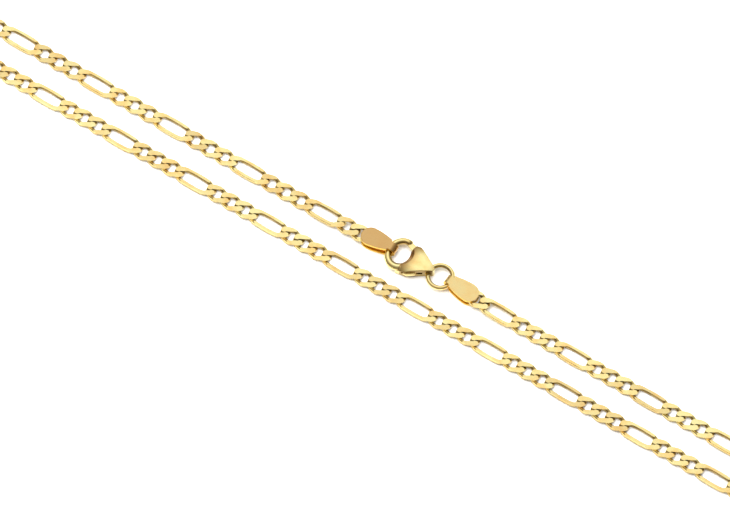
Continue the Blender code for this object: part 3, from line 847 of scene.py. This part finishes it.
def clasp_painted_shade(co, normal):
    """Painted shade on the clasp: darker round its opening, at the hook's tip and on the side with
    the wing.
    """
    inner = 0.0
    if opening_reach(co) < 1.35:
        across = Vector((HOOK_CENTRE_X - co.x, HOOK_CENTRE_Y - co.y))
        facing = (normal.x * across.x + normal.y * across.y) / across.length
        inner = min(2.0 * facing - 0.3, 0.8 if co.x < BODY_START_X else 0.6)
    tip_reach = 0.6 * MM
    tip = 1.2 - (Vector((co.x, co.y)) - bevel_axes()[0]).length / tip_reach
    side = 0.0
    if co.x > SHOULDER_X - HOOK_TIP_WIRE:
        side = min(-1.8 * normal.y - 0.4, 1.0 if co.z > SLOT_HEIGHT / 2 else 0.75)
    return max(inner, tip, side)


def clasp_painted_brown(co, normal):
    """Painted shade in brown on the clasp, towards its shoulder's corner and along the edge of its
    opening.
    """
    corner = Vector((SHOULDER_X - SHOULDER_SLANT / 2, BODY_MIDDLE_Y + SHOULDER_WIDTH / 2))
    shoulder_reach = 2.6 * MM
    shoulder = 0.7 - (Vector((co.x, co.y)) - corner).length / shoulder_reach
    edge = 0.0
    if co.x > BODY_START_X and co.z > 0:
        edge = 1.15 - 1.5 * (opening_reach(co) - 0.8)
    return max(shoulder, edge)


def paint_shade_on_plate_sides(item, place):
    """Paint shade on the edges of a tab's plates and on the sides that face each other."""
    layer = item.data.attributes.new(PAINTED_SHADE, 'FLOAT', 'FACE')
    across = (place.to_3x3() @ Vector((0, 1, 0))).normalized()
    middle = PLATE_THICKNESS + CHAIN_THICKNESS / 2
    for face, value in zip(item.data.polygons, layer.data):
        edge = abs(face.normal.dot(across)) > 0.5
        above = face.center.z > middle
        facing = face.normal.z < -0.5 if above else face.normal.z > 0.5
        value.value = 1.0 if edge or facing else 0.0


def make_tab(name, wire, wire_height, place, settings, node, tone):
    """A strip folded round its wire, whose plates hold a short link between them."""
    tab = tab_strip(name, wire, wire_height)
    solid = tab.modifiers.new("Plate", 'SOLIDIFY')
    solid.thickness = PLATE_THICKNESS
    solid.offset = 0.0
    solid.use_even_offset = True
    wear_edges(tab, settings.shape.edge_round)
    apply_modifiers(tab)
    tab.data.transform(place)
    shade(tab)
    set_tone(tab, tone)
    # Painted shade on the plates' edges and on the sides that face each other
    paint_shade_on_plate_sides(tab, place)
    tab.data.materials.append(plate_gold(settings.finish))
    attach(tab, ROOT_BODY)
    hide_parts(node)
    return tab


def hook_point(angle, outside=0.0):
    """A point on the oval middle line of the hook's wire, or at a distance outside it."""
    return (HOOK_CENTRE_X + (HOOK_HALF_LENGTH + outside) * math.cos(angle),
            HOOK_CENTRE_Y + (HOOK_HALF_WIDTH + outside) * math.sin(angle))


def bevel_axes():
    """Point, direction and hook-side normal of the slanted seat between hook and gate."""
    point = Vector(hook_point(HOOK_TIP_ANGLE))
    along = Vector((math.cos(HOOK_BEVEL_SLOPE), math.sin(HOOK_BEVEL_SLOPE)))
    normal = Vector((-along.y, along.x))
    return point, along, normal


def prism(name, outline, low, high):
    """Upright solid with the given outline."""
    shape = bmesh.new()
    face = shape.faces.new([shape.verts.new((x, y, low)) for x, y in outline])
    raised = bmesh.ops.extrude_face_region(shape, geom=[face])
    moved = [v for v in raised["geom"] if isinstance(v, bmesh.types.BMVert)]
    bmesh.ops.translate(shape, verts=moved, vec=(0, 0, high - low))
    return object_from(shape, name)


def body_outline():
    """Plan of the clasp's body: shoulders, the side towards the hook's opening, and the tail."""
    half = SHOULDER_WIDTH / 2
    tip_x = PIVOT_TO_EYE + RING_WIRE / 2 + EYE_GAP + EYE_WALL
    tail = TAIL_WIDTH / 2
    opening_start, opening_end = 32, -76
    outline = [(SHOULDER_X, BODY_MIDDLE_Y + half)]
    outline += [(SHOULDER_X - SHOULDER_SLANT, BODY_MIDDLE_Y + half - SHOULDER_DROP)]
    outline += [hook_point(math.radians(degrees), -HOOK_TIP_WIRE / 2)
                for degrees in range(opening_start, opening_end, -6)]
    outline += [hook_point(math.radians(opening_end), HOOK_ROOT_WIRE / 2)]
    outline += [(SHOULDER_X, BODY_LOW_SIDE)]
    centre = tip_x - tail
    for degrees in range(-80, 81, 20):
        angle = math.radians(degrees)
        outline.append((centre + tail * math.cos(angle), EYE_OFFSET + tail * math.sin(angle)))
    return outline


def hook_wire():
    """The hook as a tapering wire round its opening."""
    steps, sides = 72, 32
    overrun = math.radians(24)
    sweep = math.tau - (HOOK_TIP_ANGLE - overrun) + HOOK_ROOT_ANGLE
    shape = bmesh.new()
    rings = []
    for index in range(steps + 1):
        share = index / steps
        angle = HOOK_ROOT_ANGLE - share * sweep
        x, y = hook_point(angle)
        out = Vector((HOOK_HALF_WIDTH * math.cos(angle), HOOK_HALF_LENGTH * math.sin(angle), 0))
        out.normalize()
        thick = (HOOK_ROOT_WIRE + (HOOK_TIP_WIRE - HOOK_ROOT_WIRE) * share) / 2
        ring = []
        for side in range(sides):
            turn = math.tau * side / sides
            offset = out * (thick * math.cos(turn)) + Vector((0, 0, thick * math.sin(turn)))
            ring.append(shape.verts.new(Vector((x, y, 0)) + offset))
        rings.append(ring)
    skin(shape, rings, closed=False)
    shape.faces.new(rings[0])
    shape.faces.new(rings[-1])
    return object_from(shape, "hook_wire")


def add_boolean(item, other, operation):
    """Join another piece to this one, cut it away or keep only what they share, by a modifier."""
    modifier = item.modifiers.new(operation.title(), 'BOOLEAN')
    modifier.operation = operation
    modifier.object = other
    modifier.solver = 'EXACT'


def round_ring(name, half_wire, centre):
    """A ring of the jump ring's radius, lying flat, with the given half thickness of its wire."""
    bpy.ops.mesh.primitive_torus_add(major_segments=96, minor_segments=32, location=centre,
                                     major_radius=RING_RADIUS, minor_radius=half_wire)
    item = bpy.context.object
    item.name = name
    return item


def round_post(radius, height):
    """An upright cylinder on the lever's pivot."""
    bpy.ops.mesh.primitive_cylinder_add(vertices=48, radius=radius, depth=height)
    return bpy.context.object


def body_dome(top):
    """The flattened sphere whose upper side is the clasp's dome."""
    bpy.ops.mesh.primitive_uv_sphere_add(segments=96, ring_count=64, radius=1.0)
    dome = bpy.context.object
    dome.data.transform(Matrix.Diagonal((BODY_DOME_LENGTH / 2, BODY_DOME_WIDTH / 2,
                                         BODY_DOME_DROP, 1)))
    dome.location = (BODY_DOME_X, BODY_MIDDLE_Y, top - BODY_DOME_DROP)
    return dome


def hook_mouth(top):
    """The hole that widens upwards where the body borders on the hook's opening."""
    height = top - MOUTH_FLOOR
    bpy.ops.mesh.primitive_cone_add(vertices=96, radius1=1.0, radius2=MOUTH_FLARE, depth=1.0)
    mouth = bpy.context.object
    mouth.data.transform(Matrix.Diagonal((HOOK_HALF_LENGTH - HOOK_TIP_WIRE / 2,
                                          HOOK_HALF_WIDTH - HOOK_TIP_WIRE / 2, height, 1)))
    mouth.location = (HOOK_CENTRE_X, HOOK_CENTRE_Y, MOUTH_FLOOR + height / 2)
    return mouth


def gate_seat_trim():
    """The block that cuts the hook's tip off along the slanted seat."""
    point, along, normal = bevel_axes()
    size = HOOK_HALF_LENGTH + HOOK_HALF_WIDTH
    edge = point + normal * FITTING_GAP / 2
    corners = [edge - along * size / 2, edge + along * size / 2]
    corners += [corner - normal * size / 2 for corner in reversed(corners)]
    return prism("hook_trim", [tuple(c) for c in corners], -HOOK_ROOT_WIRE, HOOK_ROOT_WIRE)


def lever_slot():
    """The slot through the body, which is longer on the gate's side."""
    side = SHOULDER_WIDTH
    outline = ((-SLOT_FRONT, -side), (SLOT_BACK, -side), (SLOT_BACK, side),
               (-GATE_SLOT_FRONT, side), (-GATE_SLOT_FRONT, 0), (-SLOT_FRONT, 0))
    return prism("lever_slot", outline, -SLOT_HEIGHT / 2, SLOT_HEIGHT / 2)


def lever_outline():
    """Plan of the lever: gate, the part round the pivot, and the thumb wing on the -Y side."""
    point, along, normal = bevel_axes()
    seat = point - normal * FITTING_GAP / 2 - along * GATE_SINK
    gate_inner = seat - along * GATE_WIDTH / 2
    gate_outer = seat + along * GATE_WIDTH / 2
    side = BODY_LOW_SIDE
    wing = side - WING_PROUD
    outline = [tuple(gate_inner), (gate_inner.x + GATE_NECK_RUN, gate_inner.y - GATE_NECK_DROP)]
    outline += [(-LEVER_FRONT, LEVER_INSIDE), (-LEVER_WAIST, -PIN_DIAMETER / 2)]
    outline += [(-LEVER_FRONT, side * 3 / 4), (-LEVER_FRONT, wing), (WING_LENGTH - LEVER_FRONT, wing)]
    outline += [(LEVER_BACK, side * 3 / 4), (LEVER_BACK, PIN_DIAMETER / 2)]
    outline += list(GATE_BACK) + [tuple(gate_outer)]
    return outline


# Stage

def level_directions(stage):
    """Level directions away from the camera and to its right."""
    turn = stage.camera_turn
    return (Vector((-math.sin(turn), math.cos(turn), 0)),
            Vector((math.cos(turn), math.sin(turn), 0)))


def make_sky(scene, stage):
    """Light from all round: brightest in a soft box overhead, and dimmer and warmer beside it."""
    world = bpy.data.worlds.new("soft_box")
    world.use_nodes = True
    scene.world = world
    tree = world.node_tree
    light = tree.nodes["Background"]
    light.inputs["Strength"].default_value = stage.sky_light
    away = level_directions(stage)[0]
    height = stage.camera_height
    place = add_node(tree, "ShaderNodeTexCoord", (-900, 0))
    aside = add_node(tree, "ShaderNodeVectorMath", (-700, 0), operation='DOT_PRODUCT')
    aside.inputs[1].default_value = away * math.cos(height) + Vector((0, 0, math.sin(height)))
    tree.links.new(place.outputs["Generated"], aside.inputs[0])
    ramp = add_node(tree, "ShaderNodeValToRGB", (-450, 0))
    low = stage.low_light
    ramp.color_ramp.elements[0].position = 0.0
    ramp.color_ramp.elements[0].color = (*[low * part for part in FAR_TINT], 1)
    ramp.color_ramp.elements[1].position = BOX_EDGE
    ramp.color_ramp.elements[1].color = (1.0, 1.0, 1.0, 1)
    for position, share in SKY_STEPS:
        grey = low + (1 - low) * share
        middle = ramp.color_ramp.elements.new(position)
        middle.color = (*[(part + (1 - part) * share) * grey for part in NEAR_TINT], 1)
    tree.links.new(aside.outputs["Value"], ramp.inputs["Fac"])
    tree.links.new(ramp.outputs["Color"], light.inputs["Color"])


def make_lamps(scene, stage):
    """Large lamps that light the floor and don't show in the gold."""
    away, right = level_directions(stage)
    for name, far, aside, up, size, share in LAMPS:
        place = away * far + right * aside + Vector((0, 0, up))
        data = bpy.data.lights.new(name, 'AREA')
        data.energy = stage.lamp_power * share
        data.size = size
        lamp = bpy.data.objects.new(name, data)
        lamp.location = place
        lamp.rotation_euler = (-place).to_track_quat('-Z', 'Y').to_euler()
        lamp.visible_glossy = False
        scene.collection.objects.link(lamp)


def make_camera(scene, stage):
    """A camera with a long lens, looking down at the clasp at a slant."""
    away = level_directions(stage)[0]
    height = stage.camera_height
    aim = Vector((-Layout().middle_x + AIM_ALONG, AIM_ASIDE, 0)) - away * AIM_NEARER
    back = -away * math.cos(height) + Vector((0, 0, math.sin(height)))
    lens = bpy.data.cameras.new("camera")
    lens.sensor_width = 36.0
    lens.lens = lens.sensor_width * stage.camera_distance / stage.view_width
    lens.clip_start = 0.1
    lens.clip_end = 20.0
    camera = bpy.data.objects.new("camera", lens)
    camera.location = aim + back * stage.camera_distance
    camera.rotation_euler = (-back).to_track_quat('-Z', 'Y').to_euler()
    scene.collection.objects.link(camera)
    scene.camera = camera


# Operators

def chain_settings(context):
    """The settings that the scene keeps for the figaro chain."""
    return context.scene.figaro_chain


class FigaroSettings(bpy.types.PropertyGroup):
    """All settings of the figaro chain."""
    finish: bpy.props.PointerProperty(type=FigaroFinish)
    shape: bpy.props.PointerProperty(type=FigaroShape)
    stage: bpy.props.PointerProperty(type=FigaroStage)


class FIGARO_OT_links(bpy.types.Operator):
    """Make the two halves of the chain, with the soldered end links"""
    bl_idname = "figaro.links"
    bl_label = "Make Links"
    bl_options = {'REGISTER', 'UNDO'}

    def execute(self, context):
        settings = chain_settings(context)
        layout = Layout()
        bases = {length: milled_link(length, settings.shape.wire_depth)
                 for length in (SHORT_LINK_LENGTH, LONG_LINK_LENGTH)}
        chance = random.Random(settings.shape.seed)
        places = []
        for length, (first, second) in zip(layout.lengths, layout.ends):
            roll = chance.uniform(-1, 1) * settings.shape.link_tilt
            place = layout.shift @ link_place(first, second, roll)
            places.append((length, place, settings.finish.tone_spread * chance.random() ** 2))
        middle = Matrix.Translation((TAB_LENGTH + END_LINK_OUT, 0, END_LINK_HEIGHT))
        ring_end = (SHORT_LINK_LENGTH, layout.shift @ layout.ring_tab @ middle, 0.0)
        hook_end = (SHORT_LINK_LENGTH, layout.shift @ layout.hook_tab @ middle, 0.0)
        halves = (("ring_side_links", "chain_ring_side", places[:layout.split]),
                  ("hook_side_links", "chain_hook_side", places[layout.split:]),
                  ("ring_side_end_link", "ring_side_tab", [ring_end]),
                  ("hook_side_end_link", "hook_side_tab", [hook_end]))
        for name, node, copies in halves:
            piece = join_copies(name, bases, copies)
            piece.data.materials.append(wire_gold(settings.finish))
            piece.data.materials.append(flat_gold(settings.finish))
            for polygon in piece.data.polygons:
                polygon.use_smooth = polygon.material_index == 0
            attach(piece, ROOT_BODY)
            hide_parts(node)
        for base in bases.values():
            base.free()
        return {'FINISHED'}


class FIGARO_OT_tabs(bpy.types.Operator):
    """Make the two folded tabs"""
    bl_idname = "figaro.tabs"
    bl_label = "Make Tabs"
    bl_options = {'REGISTER', 'UNDO'}

    def execute(self, context):
        settings = chain_settings(context)
        layout = Layout()
        brown = settings.finish.plate_tone
        make_tab("ring_side_plate", RING_WIRE, RING_HEIGHT, layout.shift @ layout.ring_tab,
                 settings, "ring_side_tab", 0.5 * brown)
        make_tab("hook_side_plate", HOOK_LEFT_WIRE, CLASP_HEIGHT, layout.shift @ layout.hook_tab,
                 settings, "hook_side_tab", brown)
        return {'FINISHED'}


class FIGARO_OT_jump_ring(bpy.types.Operator):
    """Make the jump ring"""
    bl_idname = "figaro.jump_ring"
    bl_label = "Make Jump Ring"
    bl_options = {'REGISTER', 'UNDO'}

    def execute(self, context):
        settings = chain_settings(context)
        layout = Layout()
        ring = round_ring("round_ring", RING_WIRE / 2, (0, 0, 0))
        # Painted shade on the side of the ring's wire that faces its middle
        set_by_rule(ring, PAINTED_SHADE, ring_painted_shade)
        ring.data.transform(layout.shift @ Matrix.Translation(layout.ring))
        ring.data.shade_smooth()
        ring.data.materials.append(wire_gold(settings.finish))
        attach(ring, ROOT_BODY)
        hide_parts("jump_ring")
        return {'FINISHED'}


class FIGARO_OT_clasp(bpy.types.Operator):
    """Make the clasp's cast body with its hook, slot, eye and pin"""
    bl_idname = "figaro.clasp"
    bl_label = "Make Clasp Body"
    bl_options = {'REGISTER', 'UNDO'}

    def execute(self, context):
        settings = chain_settings(context)
        layout = Layout()
        foot = BODY_FOOT - CLASP_HEIGHT
        top = BODY_HEIGHT - CLASP_HEIGHT
        body = prism("cast_clasp", body_outline(), foot, top)
        dome = body_dome(top)
        mouth = hook_mouth(top)
        hook = hook_wire()
        trim = gate_seat_trim()
        add_boolean(hook, trim, 'DIFFERENCE')
        slot = lever_slot()
        eye = round_ring("eye_path", RING_WIRE / 2 + EYE_GAP,
                         layout.ring - Vector((0, PIVOT_Y, CLASP_HEIGHT)))
        pin = round_post(PIN_DIAMETER / 2, 1.6 * SLOT_HEIGHT)
        for other, operation in ((dome, 'INTERSECT'), (mouth, 'DIFFERENCE'), (hook, 'UNION'),
                                 (slot, 'DIFFERENCE'), (eye, 'DIFFERENCE'), (pin, 'UNION')):
            add_boolean(body, other, operation)
        cast = body.modifiers.new("Cast skin", 'REMESH')
        cast.mode = 'VOXEL'
        cast.voxel_size = CAST_CELL
        soft = body.modifiers.new("Polished", 'SMOOTH')
        soft.factor = 0.5
        soft.iterations = 6
        apply_modifiers(body)
        for used in (dome, mouth, hook, trim, slot, eye, pin):
            bpy.data.objects.remove(used, do_unlink=True)
        # Painted shade, and brown painted shade, kept at the clasp's corners
        set_by_rule(body, PAINTED_SHADE, clasp_painted_shade)
        set_by_rule(body, TONE_AND_PAINTED_SHADE, clasp_painted_brown)
        body.data.transform(layout.pivot)
        body.data.shade_smooth()
        body.data.materials.append(cast_gold(settings.finish))
        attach(body, ROOT_BODY)
        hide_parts("clasp_body")
        return {'FINISHED'}


class FIGARO_OT_lever(bpy.types.Operator):
    """Make the clasp's sprung lever"""
    bl_idname = "figaro.lever"
    bl_label = "Make Lever"
    bl_options = {'REGISTER', 'UNDO'}

    def execute(self, context):
        settings = chain_settings(context)
        layout = Layout()
        half = LEVER_THICKNESS / 2
        lever = prism("sprung_lever", lever_outline(), -half, half)
        hole = round_post(PIN_DIAMETER / 2 + PIN_GAP, 2 * SLOT_HEIGHT)
        add_boolean(lever, hole, 'DIFFERENCE')
        wear_edges(lever, settings.shape.edge_round)
        apply_modifiers(lever)
        bpy.data.objects.remove(hole, do_unlink=True)
        lever.data.transform(layout.pivot)
        shade(lever)
        lever.data.materials.append(plate_gold(settings.finish))
        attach(lever, LEVER_BODY)
        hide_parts("clasp_lever")
        return {'FINISHED'}


class FIGARO_OT_stage(bpy.types.Operator):
    """Make the floor, the soft light and the camera"""
    bl_idname = "figaro.stage"
    bl_label = "Make Stage"
    bl_options = {'REGISTER', 'UNDO'}

    def execute(self, context):
        stage = chain_settings(context).stage
        scene = context.scene
        scene.view_settings.view_transform = 'Standard'
        bpy.ops.mesh.primitive_plane_add(size=2.4)
        floor = context.object
        floor.name = "floor"
        floor.data.materials.append(floor_material(stage.floor_colour))
        make_sky(scene, stage)
        make_lamps(scene, stage)
        make_camera(scene, stage)
        return {'FINISHED'}


STEPS = ("links", "tabs", "jump_ring", "clasp", "lever", "stage")


class FIGARO_PT_panel(bpy.types.Panel):
    """Settings and steps of the figaro chain"""
    bl_idname = "FIGARO_PT_panel"
    bl_label = "Figaro Chain"
    bl_space_type = 'VIEW_3D'
    bl_region_type = 'UI'
    bl_category = "Figaro Chain"

    def draw(self, context):
        settings = chain_settings(context)
        for group in (settings.finish, settings.shape, settings.stage):
            box = self.layout.box()
            for name in type(group).__annotations__:
                box.prop(group, name)
        for step in STEPS:
            self.layout.operator("figaro." + step)


CLASSES = (FigaroFinish, FigaroShape, FigaroStage, FigaroSettings, FIGARO_OT_links, FIGARO_OT_tabs,
           FIGARO_OT_jump_ring, FIGARO_OT_clasp, FIGARO_OT_lever, FIGARO_OT_stage, FIGARO_PT_panel)


def register():
    """Register every class, and give each scene its settings."""
    for item in CLASSES:
        bpy.utils.register_class(item)
    bpy.types.Scene.figaro_chain = bpy.props.PointerProperty(type=FigaroSettings)


def unregister():
    """Undo what register did, in the opposite order."""
    del bpy.types.Scene.figaro_chain
    for item in reversed(CLASSES):
        bpy.utils.unregister_class(item)


def main():
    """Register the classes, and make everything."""
    register()
    for step in STEPS:
        getattr(bpy.ops.figaro, step)()


if __name__ == "__main__":
    main()
